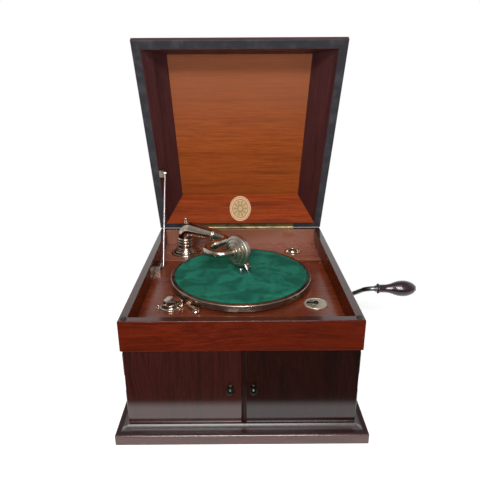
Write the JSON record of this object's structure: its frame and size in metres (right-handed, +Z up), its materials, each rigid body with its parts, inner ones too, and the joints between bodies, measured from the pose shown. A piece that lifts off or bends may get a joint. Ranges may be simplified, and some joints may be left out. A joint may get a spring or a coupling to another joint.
{
  "type": "tabletop gramophone",
  "caption": "Wind-up tabletop gramophone in a wooden case with hinged lid, front doors over an inner horn, felted turntable, swinging tone arm and side crank.",
  "frame": {"origin": "middle of the base board on the surface that it stands on", "axes": "+Z up, -Y towards the doors at the front, +X towards the crank"},
  "size_m": [0.6048, 0.5708, 0.6978],
  "materials": {
    "mahogany": "gloss",
    "dark_mahogany": "gloss",
    "deck_wood": "gloss",
    "lid_wood": "satin",
    "deal": "matte",
    "grip_wood": "gloss",
    "nickel": "polished",
    "brass": "satin",
    "bronze": "dark",
    "badge": "satin",
    "steel": "satin",
    "iron": "painted",
    "felt": "matte",
    "rubber": "matte",
    "mica": "satin"
  },
  "bodies": {
    "cabinet": {"base_board": "dark_mahogany", "plinth_mouldings": "dark_mahogany", "side_panels": "dark_mahogany", "back_panel": "dark_mahogany", "rim_rails": "mahogany", "deck_battens": "deal", "lid_buffers": "rubber", "deck_screws": "nickel", "rear_deck": "deck_wood", "motor_board": "deck_wood", "stay_catch": "nickel", "lid_hinge_fixed_leaf": "brass", "door_hinge_jambs": "brass", "hinge_pins": "brass", "brake_plate": "nickel", "needle_cup": "nickel", "needle_bowl": "nickel", "speed_dial": "nickel", "tonearm_base": "nickel", "horn_throat": "iron", "horn": "deal", "crank_escutcheon": "nickel", "motor_base_plate": "iron", "motor_top_plate": "iron"},
    "lid": {"lid_walls": "mahogany", "lid_panel": "lid_wood", "lid_badge": "badge", "lid_hinge_moving_leaf": "brass", "stay_bracket": "nickel"},
    "stay": {"stay_rod": "nickel"},
    "left_door": {"left_door": "dark_mahogany", "left_door_knob": "bronze", "left_door_hinges": "brass"},
    "right_door": {"right_door": "dark_mahogany", "right_door_knob": "bronze", "right_door_hinges": "brass"},
    "turntable": {"turntable": "nickel", "felt_mat": "felt", "spindle": "steel"},
    "intermediate": {"intermediate_gears": "brass"},
    "spring_barrel": {"spring_barrel": "steel", "mainspring": "steel"},
    "governor": {"governor": "brass"},
    "winder": {"winding_shaft": "steel", "crank_rod": "nickel"},
    "barrel_arbor": {"barrel_arbor": "steel"},
    "crank_grip": {"crank_grip": "grip_wood"},
    "tonearm": {"tonearm_post": "nickel", "tonearm_tube": "nickel"},
    "crook": {"crook": "nickel", "soundbox_back": "nickel", "soundbox_ring": "nickel", "diaphragm": "mica", "needle_bar": "nickel", "needle": "steel"},
    "needle_screw": {"needle_screw": "nickel"},
    "brake_lever": {"brake_lever": "nickel"},
    "speed_pointer": {"speed_pointer": "nickel"},
    "regulator_lever": {"regulator_lever": "steel"},
    "cup_lid": {"needle_bowl_lid": "nickel"}
  },
  "joints": [
    {"name": "lid_hinge", "type": "hinge", "parent": "cabinet", "child": "lid", "pos_m": [0, 0.246, 0.2435], "axis": [-1, 0, 0], "range_deg": [-65, 0]},
    {"name": "stay_pivot", "type": "hinge", "parent": "lid", "child": "stay", "pos_m": [-0.1805, 0.17624, 0.40494], "axis": [-1, 0, 0], "range_deg": [0, 117]},
    {"name": "left_door_hinge", "type": "hinge", "parent": "cabinet", "child": "left_door", "pos_m": [-0.2098, -0.2287, 0], "axis": [0, 0, -1], "range_deg": [0, 165]},
    {"name": "right_door_hinge", "type": "hinge", "parent": "cabinet", "child": "right_door", "pos_m": [0.2098, -0.2287, 0], "axis": [0, 0, 1], "range_deg": [0, 165]},
    {"name": "turntable_spin", "type": "hinge", "parent": "cabinet", "child": "turntable", "pos_m": [0, -0.004, 0], "axis": [0, 0, 1], "continuous": true},
    {"name": "intermediate_spin", "type": "hinge", "parent": "cabinet", "child": "intermediate", "pos_m": [-0.01451, 0.04018, 0], "axis": [0, 0, 1], "continuous": true},
    {"name": "barrel_spin", "type": "hinge", "parent": "cabinet", "child": "spring_barrel", "pos_m": [0.04, 0.06, 0], "axis": [0, 0, 1], "continuous": true},
    {"name": "governor_spin", "type": "hinge", "parent": "cabinet", "child": "governor", "pos_m": [0, -0.0337, 0.1645], "axis": [1, 0, 0], "continuous": true},
    {"name": "crank_wind", "type": "hinge", "parent": "cabinet", "child": "winder", "pos_m": [0, 0.06, 0.1345], "axis": [1, 0, 0], "continuous": true},
    {"name": "arbor_spin", "type": "hinge", "parent": "cabinet", "child": "barrel_arbor", "pos_m": [0.04, 0.06, 0], "axis": [0, 0, 1], "continuous": true},
    {"name": "grip_spin", "type": "hinge", "parent": "winder", "child": "crank_grip", "pos_m": [0, -0.029, 0.1945], "axis": [1, 0, 0], "continuous": true},
    {"name": "tonearm_swing", "type": "hinge", "parent": "cabinet", "child": "tonearm", "pos_m": [-0.1375, 0.172, 0], "axis": [0, 0, 1], "range_deg": [0, 46]},
    {"name": "crook_lift", "type": "hinge", "parent": "tonearm", "child": "crook", "pos_m": [-0.06, 0.04671, 0.2695], "axis": [-0.6884, -0.7254, 0], "range_deg": [0, 95]},
    {"name": "needle_screw_turn", "type": "hinge", "parent": "crook", "child": "needle_screw", "pos_m": [0.01216, -0.00984, 0.23617], "axis": [0.7133, 0.7009, 0], "range_deg": [0, 360]},
    {"name": "brake_swing", "type": "hinge", "parent": "cabinet", "child": "brake_lever", "pos_m": [-0.08712, -0.14342, 0], "axis": [0, 0, 1], "range_deg": [0, 12]},
    {"name": "speed_pointer_turn", "type": "hinge", "parent": "cabinet", "child": "speed_pointer", "pos_m": [0.147, -0.11599, 0], "axis": [0, 0, 1], "range_deg": [-25, 25]},
    {"name": "regulator_swing", "type": "hinge", "parent": "cabinet", "child": "regulator_lever", "pos_m": [0.095, -0.07, 0], "axis": [0, 0, 1], "range_deg": [-4, 4]},
    {"name": "cup_lid_swivel", "type": "hinge", "parent": "cabinet", "child": "cup_lid", "pos_m": [-0.11597, -0.11807, 0.2035], "axis": [0, 0, 1], "range_deg": [0, 35]}
  ],
  "couplings": [
    {"joint": "stay_pivot", "follows": "lid_hinge", "ratio": -1.798},
    {"joint": "intermediate_spin", "follows": "turntable_spin", "ratio": -0.24},
    {"joint": "barrel_spin", "follows": "turntable_spin", "ratio": 0.062609},
    {"joint": "governor_spin", "follows": "turntable_spin", "ratio": 10},
    {"joint": "arbor_spin", "follows": "crank_wind", "ratio": -0.5},
    {"joint": "regulator_swing", "follows": "speed_pointer_turn", "ratio": 0.15}
  ]
}
